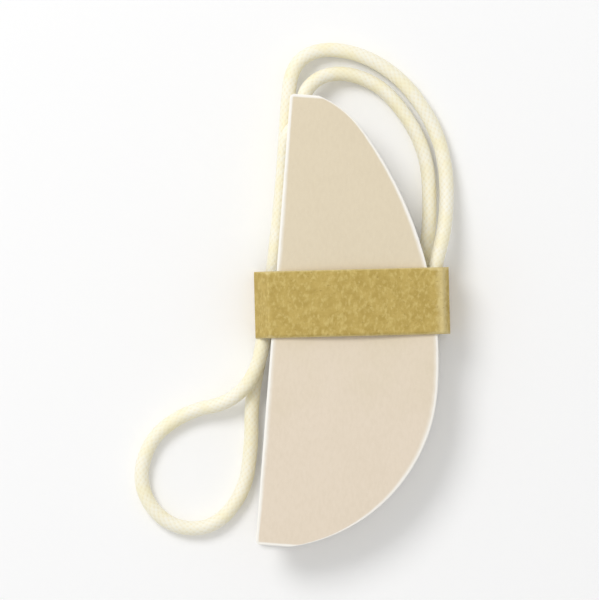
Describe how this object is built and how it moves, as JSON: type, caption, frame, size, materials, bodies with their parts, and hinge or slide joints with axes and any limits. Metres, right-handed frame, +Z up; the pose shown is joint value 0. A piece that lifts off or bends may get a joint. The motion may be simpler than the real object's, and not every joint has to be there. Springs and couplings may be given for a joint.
{
  "type": "folded origami egg ornament",
  "caption": "Half-egg stack of glued paper leaves between card covers, folded flat, with a cream hanging cord and a kraft paper band round the middle.",
  "frame": {"origin": "on the surface that the folded egg lies on, under the middle of the egg and band", "axes": "+Y along the spine towards the egg's tip, +Z up through the leaves towards the front cover, +X from the spine towards the curved edge"},
  "size_m": [0.0366, 0.0608, 0.0072],
  "materials": {
    "cover_card": "matt",
    "leaf_paper": "matt",
    "cotton_cord": "matt",
    "kraft_paper": "matt"
  },
  "bodies": {
    "root": {"front_cover": "cover_card", "back_cover": "cover_card", "paper_leaves": "leaf_paper", "hanging_cord": "cotton_cord", "paper_band": "kraft_paper"}
  },
  "joints": []
}
